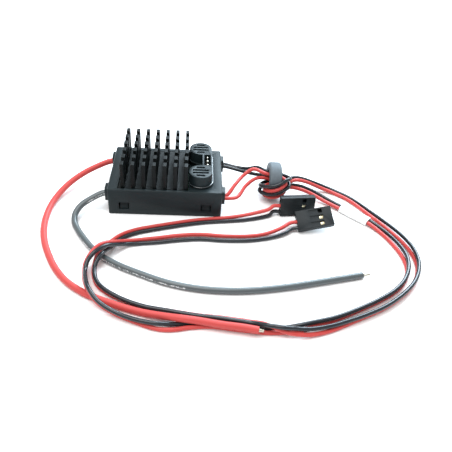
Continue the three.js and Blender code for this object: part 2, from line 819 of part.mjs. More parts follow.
// From the collars to the core: the black leads leave beside the rear corner and the red leads
// beside the front corner, one of each for each pair.
const out = CASE.length / 2 + COLLAR.out;
const near = COLLAR.y - THIN.pitch / 2;
const far = COLLAR.y + THIN.pitch / 2;
const TO_CORE = {
  rearBlack: [
    [THIN.inner, far, THIN.exitZ],
    [out + 0.6, far, THIN.exitZ],
    [28.5, 11.2, 6.4],
    [33.3, 9, 7.2],
    [37, 5.8, 10.2],
    [40.2, 2.9, 10.8],
  ],
  frontBlack: [
    [THIN.inner, near, THIN.exitZ],
    [out + 0.6, near, THIN.exitZ],
    [28.5, 9.1, 6.6],
    [33, 6.5, 7],
    [37, 3.6, 8.1],
    [40.4, 2.1, 8.7],
  ],
  rearRed: [
    [THIN.inner, -near, THIN.exitZ],
    [out + 0.6, -near, THIN.exitZ],
    [27.3, -5.6, 8.6],
    [31, 0, 9.6],
    [35.2, 2.2, 11.6],
    [39.8, 0.4, 11],
  ],
  frontRed: [
    [THIN.inner, -far, THIN.exitZ],
    [out + 0.6, -far, THIN.exitZ],
    [28.4, -9.7, 5.9],
    [32.2, -3.8, 7.5],
    [36.2, -1, 9.2],
    [39.7, -0.1, 9],
  ],
};
const REAR_TURN = -2.9;
const FRONT_TURN = -1;
const OUTPUTS = {
  output_rear_black: {
    points: [...TO_CORE.rearBlack, ...turn({ start: REAR_TURN, over: 1, aside: -1 }), ...rear.black],
    finish: "black",
  },
  output_rear_red: {
    points: [...TO_CORE.rearRed, ...turn({ start: REAR_TURN, over: 0, aside: 0 }), ...rear.red],
    finish: "red",
  },
  output_front_black: {
    points: [...TO_CORE.frontBlack, ...turn({ start: FRONT_TURN, over: 1, aside: 0 }), ...front.black],
    finish: "black",
  },
  output_front_red: {
    points: [...TO_CORE.frontRed, ...turn({ start: FRONT_TURN, over: 0, aside: 1 }), ...front.red],
    finish: "red",
  },
};
for (const [name, { points, finish }] of Object.entries(OUTPUTS)) {
  lead(name, points, THIN.radius, 1.25, finish);
}

// ---- Marker sleeve on the front pair ----
const SLEEVE = { from: [71.9, -8.75], to: [81.3, -17.2], z: 1.45, wall: 0.3 };

function markerSleeve() {
  const [x0, y0] = SLEEVE.from;
  const [x1, y1] = SLEEVE.to;
  const length = Math.hypot(x1 - x0, y1 - y0);
  const tall = 2 * (THIN.radius + 0.25);
  const wide = THIN.pitch + tall;
  const outline = roundedRectangle(
    wide + 2 * SLEEVE.wall,
    tall + 2 * SLEEVE.wall,
    tall / 2 + SLEEVE.wall - 0.01,
  );
  outline.holes.push(roundedRectangle(wide, tall, tall / 2 - 0.01));
  const sleeve = upright(outline, 0, length, 4);
  sleeve.rotateX(Math.PI / 2).rotateZ(Math.PI / 2);
  sleeve.rotateZ(Math.atan2(y1 - y0, x1 - x0));
  return sleeve.translate(x0, y0, SLEEVE.z);
}

piece("marker_sleeve", markerSleeve(), "sleeve");

export default part;
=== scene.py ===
# %% [markdown]
# # A finned supply regulator and its leads
# The object is a small black case with a pin-fin heat sink, two heavy supply leads, and two twin
# output leads that turn once round a ferrite core and end in three-way plugs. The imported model
# gives the true places and sizes, so this lesson loads it first and builds the finish round it.

# %% Load the model
import math

import bmesh
import bpy
from mathutils import Matrix, Vector


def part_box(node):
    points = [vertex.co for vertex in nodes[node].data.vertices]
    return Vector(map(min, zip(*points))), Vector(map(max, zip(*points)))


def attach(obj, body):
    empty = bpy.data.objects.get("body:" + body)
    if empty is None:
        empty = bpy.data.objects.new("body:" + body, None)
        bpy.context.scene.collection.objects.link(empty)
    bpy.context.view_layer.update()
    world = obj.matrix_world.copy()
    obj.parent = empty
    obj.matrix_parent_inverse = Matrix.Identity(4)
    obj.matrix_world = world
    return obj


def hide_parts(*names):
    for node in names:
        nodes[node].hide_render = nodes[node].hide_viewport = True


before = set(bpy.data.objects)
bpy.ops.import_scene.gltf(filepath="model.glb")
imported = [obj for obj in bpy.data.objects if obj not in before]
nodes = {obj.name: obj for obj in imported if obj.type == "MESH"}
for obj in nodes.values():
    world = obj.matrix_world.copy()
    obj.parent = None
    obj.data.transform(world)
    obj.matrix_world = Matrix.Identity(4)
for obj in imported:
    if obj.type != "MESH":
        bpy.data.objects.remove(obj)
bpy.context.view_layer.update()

MM = 0.001
print(len(nodes), "pieces in the model")

# %% [markdown]
# ## The camera
# The camera comes first, so that everything after it can be judged through it. It stands in front
# of the case and well above it, looking down at about forty degrees and rolled a little to one
# side, so its three axes are given outright instead of being aimed with a constraint.

# %% Camera
CAMERA_PLACE = Vector((9.82, -176.07, 130.28)) * MM
CAMERA_RIGHT = Vector((0.9971, -0.0326, 0.0693))
CAMERA_UP = Vector((-0.0320, 0.6445, 0.7639))
CAMERA_BACK = CAMERA_RIGHT.cross(CAMERA_UP)
LENS = 41.4
SENSOR = 36


def make_camera():
    camera = bpy.data.objects.new("camera", bpy.data.cameras.new("camera"))
    axes = Matrix((CAMERA_RIGHT, CAMERA_UP, CAMERA_BACK)).transposed()
    camera.matrix_world = Matrix.Translation(CAMERA_PLACE) @ axes.to_4x4()
    camera.data.lens = LENS
    camera.data.sensor_width = SENSOR
    camera.data.clip_start = 0.005
    bpy.context.scene.collection.objects.link(camera)
    bpy.context.scene.camera = camera
    return camera


camera = make_camera()
print("camera", round(camera.location.length, 3), "m from the case")

# %% [markdown]
# ## Shader sums
# A finish is easier to read as a sum than as a tangle of nodes. A small class holds one output
# socket and adds a Math node for each operator. It has only the operators that these finishes
# use: a product, which joins masks, and two comparisons, which cut a value off.


# %% A socket to multiply and compare
class Signal:
    def __init__(self, finish, socket):
        self.finish = finish
        self.socket = socket

    def sum(self, operation, first, second):
        return self.finish.node("ShaderNodeMath", {"operation": operation}, {0: first, 1: second})

    def __mul__(self, other):
        return self.sum("MULTIPLY", self, other)

    __rmul__ = __mul__

    def __gt__(self, other):
        return self.sum("GREATER_THAN", self, other)

    def __lt__(self, other):
        return self.sum("LESS_THAN", self, other)


print("sums ready")

# %% [markdown]
# A Finish owns one material. Its node method makes any node from a type, its settings and its
# inputs, each a value or a link. The short methods after it are the few nodes that the finishes
# share, so that a finish reads as a list of what it is made of. A Finish starts with plain
# values, and a node that is fed to one of its sockets later takes over from the value there.


# %% A finish and its nodes
class Finish:
    def __init__(self, name, colour, roughness, metallic=0.0, specular=0.5, **constants):
        self.material = bpy.data.materials.new(name)
        self.material.use_nodes = True
        self.tree = self.material.node_tree
        self.shader = self.tree.nodes["Principled BSDF"]
        self.feed("Base Color", (*colour, 1))
        self.feed("Roughness", roughness)
        self.feed("Metallic", metallic)
        self.feed("Specular IOR Level", specular)
        for socket, value in constants.items():
            self.feed(socket.replace("_", " "), value)

    def feed(self, socket, value):
        self.plug(self.shader.inputs[socket], value)

    def plug(self, socket, value):
        if isinstance(value, Signal):
            self.tree.links.new(value.socket, socket)
        else:
            socket.default_value = value

    def node(self, kind, settings=None, inputs=None, output=0):
        made = self.tree.nodes.new(kind)
        for name, value in (settings or {}).items():
            setattr(made, name, value)
        for name, value in (inputs or {}).items():
            self.plug(made.inputs[name], value)
        return Signal(self, made.outputs[output])

    def place(self):
        return self.node("ShaderNodeTexCoord", output="Object")

    def axis(self, vector, letter):
        return self.node("ShaderNodeSeparateXYZ", {}, {"Vector": vector}, output=letter)

    def noise(self, scale, detail=2.0):
        inputs = {"Vector": self.place(), "Scale": scale, "Detail": detail}
        return self.node("ShaderNodeTexNoise", {}, inputs)

    def spread(self, value, low, high):
        inputs = {"Value": value, "To Min": low, "To Max": high}
        return self.node("ShaderNodeMapRange", {}, inputs)

    def between(self, amount, first, second):
        inputs = {"Factor": amount, "A": self.colour(first), "B": self.colour(second)}
        return self.node("ShaderNodeMix", {"data_type": "RGBA"}, inputs, "Result")

    def colour(self, value):
        return value if isinstance(value, Signal) else (*value, 1)

    def grain(self, scale, strength, depth):
        inputs = {"Height": self.noise(scale), "Strength": strength, "Distance": depth}
        self.feed("Normal", self.node("ShaderNodeBump", {}, inputs))


print("finishes can be made")

# %% [markdown]
# ## Plastics
# The case is a satin black moulding. Its fine texture breaks the gloss up, so a face that mirrors
# the light shows a soft sheen and the rest stay dark. A bump of fine noise gives that texture
# without any extra mesh. The plugs are a similar black with a weaker texture.


# %% Case and plug plastic
def case_plastic():
    finish = Finish("case_plastic", (0.011, 0.017, 0.019), 0.38, specular=0.2)
    finish.grain(2600, 0.22, 0.00006)
    cloud = finish.noise(90, 3)
    finish.feed("Roughness", finish.spread(cloud, 0.36, 0.5))
    dark, light = (0.009, 0.016, 0.018), (0.013, 0.021, 0.024)
    finish.feed("Base Color", finish.between(cloud, dark, light))
    return finish.material


def plug_plastic():
    finish = Finish("plug_plastic", (0.015, 0.019, 0.021), 0.4, specular=0.14)
    finish.feed("Roughness", finish.spread(finish.noise(160), 0.3, 0.46))
    finish.grain(1800, 0.12, 0.00004)
    return finish.material


CASE = case_plastic()
PLUG = plug_plastic()
print("plastics:", CASE.name, PLUG.name)

# %% [markdown]
# ## Metals
# The heat sink is black anodised aluminium. Its dark coat hides the metal, so its finish is a
# matt non-metal. The header pins and stripped ends are tinned, the plugs' contacts are a pale
# gilt, and the capacitor cans are drawn aluminium, seen only as dim shapes through the vents.


# %% Metals
def anodised():
    finish = Finish("black_anodised", (0.003, 0.005, 0.005), 0.36, specular=0.15)
    finish.feed("Roughness", finish.spread(finish.noise(420, 3), 0.34, 0.52))
    finish.grain(3200, 0.1, 0.00004)
    return finish.material


def bright(name, colour, roughness, scale):
    finish = Finish(name, colour, roughness, metallic=1.0)
    finish.feed("Roughness", finish.spread(finish.noise(scale), roughness * 0.8, roughness * 1.3))
    return finish.material


ANODISED = anodised()
TIN = bright("tin_plate", (0.6, 0.57, 0.48), 0.3, 700)
GILT = bright("contact_plate", (0.82, 0.74, 0.5), 0.28, 900)
CAN = bright("drawn_can", (0.3, 0.33, 0.36), 0.5, 500)
print("metals:", ANODISED.name, TIN.name, GILT.name, CAN.name)

# %% [markdown]
# ## Ferrite, board, chips and pad
# Ferrite is a sintered ceramic: a matt grey body with a fine grain and no shine to speak of. The
# parts inside the case are seldom seen, so each gets a plain finish with a little grain.


# %% Matt pieces
def matt(name, dark, light, roughness, scale, depth):
    finish = Finish(name, dark, roughness, specular=0.35)
    finish.feed("Base Color", finish.between(finish.noise(scale, 4), dark, light))
    finish.grain(scale * 3, 0.3, depth)
    return finish.material


FERRITE = matt("sintered_ferrite", (0.085, 0.108, 0.125), (0.125, 0.152, 0.172), 0.62, 900, 0.00006)
BOARD = matt("lacquered_board", (0.01, 0.06, 0.025), (0.02, 0.09, 0.04), 0.4, 300, 0.00002)
CHIP = matt("black_epoxy", (0.012, 0.012, 0.013), (0.022, 0.022, 0.024), 0.6, 800, 0.00003)
PAD = matt("silicone_pad", (0.3, 0.36, 0.4), (0.36, 0.42, 0.46), 0.85, 400, 0.00005)
SLEEVE = matt("white_sleeve", (0.8, 0.8, 0.79), (0.86, 0.86, 0.85), 0.5, 500, 0.00002)
print("matt:", FERRITE.name, BOARD.name, CHIP.name, PAD.name, SLEEVE.name)


# %% [markdown]
# ## Lead coverings
# The supply leads have soft silicone rubber with a satin bloom, and the output leads have glossier
# vinyl. Both are a colour with faint clouds in it, so that a long plain lead isn't one flat tone.


# %% Silicone and vinyl
def covering(name, colour, roughness, specular, sheen=0.0):
    finish = Finish(name, colour, roughness, specular=specular, Sheen_Weight=sheen)
    finish.feed("Roughness", finish.spread(finish.noise(400), roughness * 0.88, roughness * 1.15))
    finish.grain(1500, 0.08, 0.00004)
    return finish


def clouded(finish, colour, paler):
    return finish.between(finish.noise(260, 3), colour, paler)


def plain_covering(name, colour, roughness, specular, sheen=0.0):
    finish = covering(name, colour, roughness, specular, sheen)
    paler = tuple(part * 1.15 + 0.004 for part in colour)
    finish.feed("Base Color", clouded(finish, colour, paler))
    return finish.material


RED_SILICONE = plain_covering("red_silicone", (0.46, 0.055, 0.05), 0.46, 0.24, sheen=0.04)
RED_VINYL = plain_covering("red_vinyl", (0.48, 0.05, 0.045), 0.36, 0.32, sheen=0.03)
BLACK_VINYL = plain_covering("black_vinyl", (0.009, 0.012, 0.016), 0.24, 0.42)
print("coverings:", RED_SILICONE.name, RED_VINYL.name, BLACK_VINYL.name)

# %% [markdown]
# The black supply lead carries a line of print, kept only as a broken row of pale flecks that
# spells nothing. A picture of the print could be wrapped round the lead, but three masks are
# simpler: a band that faces the front, a stretch of the lead, and noise that is cut off at a level.

# %% Printed silicone
PRINT_FROM, PRINT_TO = -30 * MM, 9 * MM
PRINT_LOW, PRINT_HIGH = 0.02, 0.42
PRINT_COLOUR = (0.72, 0.75, 0.75)
PRINT_STRENGTH = 0.75


def printed_covering(name, colour, roughness, specular):
    finish = covering(name, colour, roughness, specular, sheen=0.1)
    across = finish.axis(finish.place(), "X")
    facing = finish.node("ShaderNodeNewGeometry", output="Normal")
    level = finish.axis(facing, "Z")
    front = finish.axis(facing, "Y") < 0
    band = (level > PRINT_LOW) * (level < PRINT_HIGH) * front
    reach = (across > PRINT_FROM) * (across < PRINT_TO)
    marks = band * reach * (finish.noise(1700, 1) > 0.5)
    plain = clouded(finish, colour, tuple(part * 1.2 for part in colour))
    finish.feed("Base Color", finish.between(marks * PRINT_STRENGTH, plain, PRINT_COLOUR))
    return finish.material


BLACK_SILICONE = printed_covering("black_silicone", (0.06, 0.075, 0.079), 0.36, 0.6)
print("covering:", BLACK_SILICONE.name)

# %% [markdown]
# ## Routes
# A lead is a round section swept along a line. Its line is a centripetal Catmull-Rom curve, which
# passes through every listed point and doesn't loop between close ones, and its height is held up
# where it lies on the floor. The lists are in millimetres, like the model's own.


# %% A smooth line through points
SPAN_STEPS = 5


def centripetal(points):
    ends = [2 * points[0] - points[1], *points, 2 * points[-1] - points[-2]]
    line = []
    for p0, p1, p2, p3 in zip(ends, ends[1:], ends[2:], ends[3:]):
        d0, d1, d2 = ((b - a).length ** 0.5 for a, b in ((p0, p1), (p1, p2), (p2, p3)))
        out_of = ((p1 - p0) / d0 - (p2 - p0) / (d0 + d1) + (p2 - p1) / d1) * d1
        into = ((p2 - p1) / d1 - (p3 - p1) / (d1 + d2) + (p3 - p2) / d2) * d1
        for step in range(SPAN_STEPS):
            s = step / SPAN_STEPS
            square = -3 * p1 + 3 * p2 - 2 * out_of - into
            cube = 2 * p1 - 2 * p2 + out_of + into
            line.append(p1 + out_of * s + square * s**2 + cube * s**3)
    line.append(points[-1])
    return line


def line_length(line):
    return sum((b - a).length for a, b in zip(line, line[1:]))


def smooth(value, low, high):
    part = min(1, max(0, (value - low) / (high - low)))
    return part * part * (3 - 2 * part)


print("lines ready")

# %% Supply lead routes
HEAVY_RADIUS = 1.2
THIN_RADIUS = 0.75
COLLAR_Y = 11.3
EXIT_Z = 6.9
COLLAR_X = 23.2
RED_SUPPLY = [
    (-18.3, COLLAR_Y, EXIT_Z),
    (-21, COLLAR_Y, EXIT_Z),
    (-24.2, 11.2, 6.8),
    (-29.7, 8.4, 5.8),
    (-35.4, 3.8, 4.6),
    (-39.6, -1.2, 3.4),
    (-42.7, -6.9, 2.2),
    (-44.5, -13.2, 1.4),
    (-44.8, -20.8, 1.2),
    (-43.9, -28.2, 1.2),
    (-41.9, -35.2, 1.2),
    (-39, -41.7, 1.2),
    (-35.6, -47.7, 1.2),
    (-31.2, -53.2, 1.2),
    (-25.7, -57.7, 1.2),
    (-20.3, -60.7, 1.2),
    (-15, -62.9, 1.2),
    (-9.1, -65.1, 1.2),
    (-3, -67, 1.4),
    (3, -68.8, 2.25),
    (8.6, -70.2, 3.05),
    (14, -70.9, 2.9),
    (21, -72.1, 2.75),
    (28, -73.1, 2.75),
    (32.3, -73.9, 2.65),
]
BLACK_SUPPLY = [
    (-18.3, -COLLAR_Y, EXIT_Z),
    (-21, -COLLAR_Y, EXIT_Z),
    (-24.2, -11.4, 6.8),
    (-28.6, -13.4, 5.4),
    (-32.1, -16, 4),
    (-33.9, -19.4, 2.5),
    (-33.6, -23.2, 1.5),
    (-31.7, -27.3, 1.2),
    (-28.6, -32.2, 1.2),
    (-25, -37, 1.2),
    (-20.4, -41.6, 1.2),
    (-14.1, -45.7, 1.2),
    (-6.9, -49.2, 1.2),
    (2.6, -53.2, 1.2),
    (12.3, -55.5, 1.2),
    (22.4, -56.3, 1.2),
    (32.4, -55.8, 1.2),
    (44.5, -53.8, 1.2),
    (57, -50.9, 1.2),
    (71.8, -47.3, 1.2),
]
print(len(RED_SUPPLY), "and", len(BLACK_SUPPLY), "supply points")

# %% [markdown]
# The output leads lie as pairs, so one list gives each pair's middle: x, y, the height of its
# lower lead, its roll and how far apart its two leads are, left out where that is the usual
# pitch. Rolling the pair over changes which lead is on top, as the real pairs do several times.

# %% Rear pair route
REAR_PAIR = [
    (49.3, 1.1, 6.6, 0),
    (52.8, 2, 7.7, 0, 2),
    (57.5, 3.9, 5.9, 0, 2.2),
    (62, 4.8, 3.7, 0, 2.2),
    (66.5, 4.8, 1.9, 0, 2.1),
    (71.5, 3, 0.9, 0),
    (77.4, -1.9, 0.75, 0),
    (83.1, -10.3, 0.75, 10),
    (88.7, -19.4, 0.75, 25),
    (92.3, -26.8, 0.75, 45),
    (94.2, -33.5, 0.75, 65),
    (94.3, -40.1, 0.75, 82),
    (92.6, -45.7, 0.75, 88),
    (89.3, -51.1, 0.75, 84),
    (83.7, -56.7, 0.75, 78),
    (75.9, -62.4, 0.75, 74),
    (68, -66.5, 0.75, 76),
    (61.6, -69.4, 0.75, 88),
    (55.7, -71.8, 0.75, 108),
    (48.9, -73.6, 1.2, 128),
    (44.9, -74.1, 1.9, 132, 1.75),
    (42.2, -74.4, 2.45, 112, 1.75),
    (39.7, -74.1, 2.75, 86, 1.75),
    (37.7, -73.3, 2.7, 64),
    (35.5, -72.6, 2.65, 48, 2.05),
    (33.4, -71.3, 1.8, 40, 2.5),
    (30.3, -70, 0.8, 42, 2.5),
    (25.2, -69.1, 0.75, 43, 2.45),
    (19.8, -68.3, 0.75, 45, 2.4),
    (14.4, -67.7, 0.75, 47, 2.25),
    (9.3, -66.8, 0.75, 48, 2),
    (3.3, -65.6, 0.75, 50, 1.9),
    (-3.2, -64.4, 0.75, 54),
    (-8.7, -62.6, 0.75, 60),
    (-13.4, -60.4, 0.75, 70),
    (-17.5, -57.7, 0.75, 80),
    (-20.3, -54.7, 0.75, 90),
    (-21.8, -51.2, 0.75, 98),
    (-22.3, -47.8, 1.4, 110),
    (-21.7, -44.9, 2.8, 132),
    (-20.8, -41.8, 3.6, 165),
    (-19.8, -38.3, 2.5, 180),
    (-18.8, -35.4, 1.4, 180),
    (-17.4, -32.4, 0.8, 180),
    (-14.6, -29.3, 0.75, 180),
    (-10.5, -26.8, 0.75, 180),
    (-5, -24.8, 0.75, 180),
    (1.5, -22.8, 0.75, 180),
    (8.5, -20.8, 0.75, 180),
    (16, -19.1, 0.75, 180),
    (24, -18, 0.75, 186),
    (31, -16.9, 0.75, 205, 2),
    (37, -15.5, 0.8, 232, 2.2),
    (41.4, -14.1, 1.05, 252, 2.5),
]
print(len(REAR_PAIR), "rear pair points")

# %% Front pair route
FRONT_PAIR = [
    (49.3, 0.9, 4.7, 0),
    (53, 0.5, 4.9, 0, 2),
    (57, 0.1, 4.2, 0, 2.3),
    (61.5, -1.2, 2.9, 0, 2.3),
    (66, -3.9, 1.8, 0, 2.2),
    (71.3, -8.2, 1.45, 0),
    (76.7, -12.9, 1.45, 0),
    (82, -17.9, 1.45, 0),
    (86.3, -23.5, 0.8, 12),
    (89.1, -30.5, 0.75, 35),
    (90.3, -37.1, 0.75, 60),
    (89.6, -43.3, 0.75, 84),
    (86.5, -49.7, 0.75, 92),
    (81.4, -55, 0.75, 84),
    (74.4, -59.6, 0.75, 76),
    (66.3, -63.9, 0.75, 74),
    (57.8, -67.9, 0.75, 84),
    (49.4, -70.6, 0.75, 108, 1.75),
    (44.9, -71.8, 0.75, 142, 1.7),
    (41.4, -72.2, 0.75, 168, 1.65),
    (37.8, -72.5, 0.75, 180, 1.65),
    (34.2, -72.5, 0.75, 180, 1.65),
    (29.8, -72, 0.75, 180, 1.65),
    (25, -71.4, 0.75, 180, 1.65),
    (20, -70.7, 0.75, 180, 1.65),
    (16.3, -70.5, 0.75, 180, 1.65),
    (13.1, -70.7, 0.75, 180, 1.7),
    (9.9, -71.1, 0.75, 178, 1.75),
    (6.6, -71.8, 0.75, 168),
    (3.4, -72.2, 0.75, 142),
    (0, -72.1, 0.75, 112),
    (-5.9, -70.4, 0.75, 80),
    (-12.2, -67.7, 0.9, 70),
    (-18.2, -64.5, 2.3, 78),
    (-21.9, -60.3, 3.6, 88),
    (-24.2, -54.4, 2.4, 98),
    (-25.2, -49.6, 1.4, 108),
    (-25, -46.7, 2.8, 124),
    (-23.3, -44, 4.8, 144),
    (-21.2, -41.3, 5.7, 170),
    (-19.2, -39.2, 5.3, 176),
    (-16.8, -37, 3.8, 180),
    (-13.2, -33.8, 1.4, 180),
    (-8.2, -32.4, 0.8, 180, 2),
    (-2, -31.3, 0.75, 180, 2.4),
    (6, -29.6, 0.75, 180, 2.6),
    (14, -28.7, 0.75, 180, 2.6),
    (23, -29.1, 0.75, 180, 2.6),
    (32.8, -28.6, 0.75, 180, 2.5),
    (40, -26.9, 0.8, 184, 2.5),
    (46, -24.5, 1.3, 198, 2.54),
]
print(len(FRONT_PAIR), "front pair points")

# %% Two leads from one pair
PITCH = 1.8


def twin(route):
    black, red = [], []
    for index, (x, y, low, roll, *pitch) in enumerate(route):
        apart = pitch[0] if pitch else PITCH
        before = route[max(0, index - 1)]
        after = route[min(len(route) - 1, index + 1)]
        way = Vector((after[0] - before[0], after[1] - before[1])).normalized()
        side = apart / 2 * math.cos(math.radians(roll))
        lift = apart / 2 * math.sin(math.radians(roll))
        z = low + abs(lift)
        black.append((x - way.y * side, y + way.x * side, z + lift))
        red.append((x + way.y * side, y - way.x * side, z - lift))
    return black, red


rear_black, rear_red = twin(REAR_PAIR)
front_black, front_red = twin(FRONT_PAIR)
print("pairs parted into", len(rear_black) * 2 + len(front_black) * 2, "lead points")

# %% [markdown]
# The turn round the core is a loop worked out by a formula, because a hand-listed coil would
# hardly stay clear of itself. Each lead goes through the hole, back over the outside and through
# again, and the loop slides along the core's rim so that its second pass clears its first.
#
# In TURN, away is where on the rim the turn sits, in degrees. Across and deep are half the loop's
# width and depth, and middle is how far its centre is from the core's axis. Shift is how far it
# slides along the rim, and apart is the spacing of its two leads. The last three are spans: rise,
# where the pair rolls onto its side, slide, where the loop slides, and bend, where it starts to
# follow the rim.

# %% Sizes of the turns
CORE = {"x": 44.1, "y": 1.7, "z": 7.25}
TURN = {
    "away": 182,
    "across": 4.2,
    "deep": 3.5,
    "middle": 5.25,
    "shift": 3.8,
    "apart": 2.12,
    "rise": (-0.75, 0.95),
    "slide": (0.2, 0.8),
    "bend": (3, 7),
}
TURN_STEPS = 14
REAR_TURN = -2.9
FRONT_TURN = -1
print("turns stand", FRONT_TURN - REAR_TURN, "mm apart on the rim")


# %% Points of a turn

def near_core(x, rho, t):
    away = math.radians(TURN["away"])
    bent = smooth(rho, *TURN["bend"])
    turned = away + t / max(rho, TURN["bend"][0]) * bent
    straight = t * (1 - bent)
    beside = away + math.pi / 2
    y = CORE["y"] + rho * math.cos(turned) + straight * math.cos(beside)
    z = CORE["z"] + rho * math.sin(turned) + straight * math.sin(beside)
    return (CORE["x"] + x, y, z)


def turn(start, over, aside):
    points = []
    for step in range(TURN_STEPS + 1):
        angle = math.radians(-90 + 360 * step / TURN_STEPS)
        rise = smooth(math.sin(angle), *TURN["rise"])
        slope = Vector((math.cos(angle) / TURN["across"], math.sin(angle) / TURN["deep"]))
        slope.normalize()
        roll = math.pi / 2 * rise
        out = over * TURN["apart"] * math.cos(roll)
        t = start + TURN["shift"] * smooth(step / TURN_STEPS, *TURN["slide"])
        x = TURN["across"] * math.cos(angle) + out * slope.x
        rho = TURN["middle"] + TURN["deep"] * math.sin(angle) + out * slope.y
        points.append(near_core(x, rho, t + aside * TURN["apart"] * math.sin(roll)))
    return points


print("turn of", len(turn(REAR_TURN, 1, -1)), "points")

# %% From the collars to the core
NEAR = COLLAR_Y - PITCH / 2
FAR = COLLAR_Y + PITCH / 2
INSIDE_X = 18.6
COLLAR_MOUTH_X = COLLAR_X + 0.6
TO_CORE = {
    "rear_black": [(28.5, 11.2, 6.4), (33.3, 9, 7.2), (37, 5.8, 10.2), (40.2, 2.9, 10.8)],
    "front_black": [(28.5, 9.1, 6.6), (33, 6.5, 7), (37, 3.6, 8.1), (40.4, 2.1, 8.7)],
    "rear_red": [(27.3, -5.6, 8.6), (31, 0, 9.6), (35.2, 2.2, 11.6), (39.8, 0.4, 11)],
    "front_red": [(28.4, -9.7, 5.9), (32.2, -3.8, 7.5), (36.2, -1, 9.2), (39.7, -0.1, 9)],
}


def from_collar(y, reach):
    return [(INSIDE_X, y, EXIT_Z), (COLLAR_MOUTH_X, y, EXIT_Z), *reach]


print(len(TO_CORE), "leads reach the core")

# %% [markdown]
# Each output lead ends in a plug. A plug lies tilted, so its own three axes come first, and the
# lead's last points are measured along them. That keeps the lead straight where it goes in, and
# it can't miss its own way in the plug.

# %% Plug ends
PLUG_WIDTH = 7.9
PLUG_THICK = 2.6
WAY = 2.54
PLUG_ENTRY = (-2.6, 0.2, 2.6)
REAR_PLUG = {"at": (45.6, -11.75, 0.15), "heading": 5.7, "climb": 0, "tilt": 80}
FRONT_PLUG = {"at": (52.3, -23.6, 0.15), "heading": 6, "climb": 10, "tilt": 27}


def plug_axes(place):
    heading, climb, tilt = (math.radians(place[key]) for key in ("heading", "climb", "tilt"))
    along = Vector(
        (
            math.cos(climb) * math.cos(heading),
            math.cos(climb) * math.sin(heading),
            math.sin(climb),
        )
    )
    side = Vector((-math.sin(heading), math.cos(heading), 0))
    across = side * math.cos(tilt) + along.cross(side) * math.sin(tilt)
    return along, across, along.cross(across)


def plug_end(place, way):
    along, across, face = plug_axes(place)
    y = PLUG_WIDTH / 2 + (way - 2) * WAY
    start = Vector(place["at"]) + across * y + face * (PLUG_THICK / 2)
    return [start + along * x for x in PLUG_ENTRY]


print("rear lead enters at", tuple(round(part, 1) for part in plug_end(REAR_PLUG, 1)[0]))

# %% Whole routes
ROUTES = {
    "supply_lead_red": RED_SUPPLY,
    "supply_lead_black": BLACK_SUPPLY,
    "output_rear_black": [
        *from_collar(FAR, TO_CORE["rear_black"]),
        *turn(REAR_TURN, 1, -1),
        *rear_black,
        *plug_end(REAR_PLUG, 1),
    ],
    "output_rear_red": [
        *from_collar(-NEAR, TO_CORE["rear_red"]),
        *turn(REAR_TURN, 0, 0),
        *rear_red,
        *plug_end(REAR_PLUG, 2),
    ],
    "output_front_black": [
        *from_collar(NEAR, TO_CORE["front_black"]),
        *turn(FRONT_TURN, 1, 0),
        *front_black,
        *plug_end(FRONT_PLUG, 1),
    ],
    "output_front_red": [
        *from_collar(-FAR, TO_CORE["front_red"]),
        *turn(FRONT_TURN, 0, 1),
        *front_red,
        *plug_end(FRONT_PLUG, 2),
    ],
}
print(len(ROUTES), "routes")


# %% [markdown]
# ## Placing pieces
# Every piece below is put in the scene in the same way: it shows its finish, the imported piece it
# stands for is hidden, and it rides on the one fixed body. Two short helpers do that, so that no
# piece is left out.


# %% Place, hide and attach
def placed(name, data, finish):
    data.materials.append(finish)
    piece = bpy.data.objects.new(name, data)
    bpy.context.scene.collection.objects.link(piece)
    return piece


def stands_for(piece, node):
    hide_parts(node)
    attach(piece, "root")


print("pieces can be placed")

# %% [markdown]
# ## Sweeping the leads
# A lead could be a mesh tube, but a curve object with a round bevel is lighter: it stays one open
# spline that can be measured, and its section can be made rounder at any time.


# %% Sweep a line
def swept(name, line, radius, finish, rest=None):
    curve = bpy.data.curves.new(name, "CURVE")
    curve.dimensions = "3D"
    curve.bevel_depth = radius * MM
    curve.bevel_resolution = 5
    curve.use_fill_caps = True
    spline = curve.splines.new("POLY")
    spline.points.add(len(line) - 1)
    for point, spot in zip(spline.points, line):
        z = spot.z if rest is None else max(spot.z, rest)
        point.co = (spot.x * MM, spot.y * MM, z * MM, 1)
    spline.use_smooth = True
    return placed(name, curve, finish)


print("lines can be swept")

# %% Leads
LEADS = {
    "supply_lead_red": ("silicone_red", RED_SILICONE, HEAVY_RADIUS, (-COLLAR_X, COLLAR_Y)),
    "supply_lead_black": ("silicone_black", BLACK_SILICONE, HEAVY_RADIUS, (-COLLAR_X, -COLLAR_Y)),
    "output_rear_black": ("wire_black", BLACK_VINYL, THIN_RADIUS, (COLLAR_X, FAR)),
    "output_rear_red": ("wire_red", RED_VINYL, THIN_RADIUS, (COLLAR_X, -NEAR)),
    "output_front_black": ("wire_black", BLACK_VINYL, THIN_RADIUS, (COLLAR_X, NEAR)),
    "output_front_red": ("wire_red", RED_VINYL, THIN_RADIUS, (COLLAR_X, -FAR)),
}
REST_GAP = 0.04
lead_lengths = {}
for name, (slot, finish, radius, _) in LEADS.items():
    line = centripetal([Vector(point) for point in ROUTES[name]])
    piece = swept(f"{name}_covering", line, radius, finish, radius + REST_GAP)
    stands_for(piece, name)
    lead_lengths[name] = line_length(line) * MM
    print(name, round(lead_lengths[name] * 1000), "mm")

# %% [markdown]
# ## Stripped ends
# Each supply lead ends in a short length of bare strand. The strands are a few thin wires with a
# gentle twist, which catch the light as separate lines and not as one smooth rod.

# %% Bare strands
STRANDS = 7
STRAND_STEPS = 8
STRAND_RADIUS = 0.2
STRAND_OUT = 0.44
STRAND_CLOSING = 0.45
STRAND_SUNK = 0.4
TWIST = 150


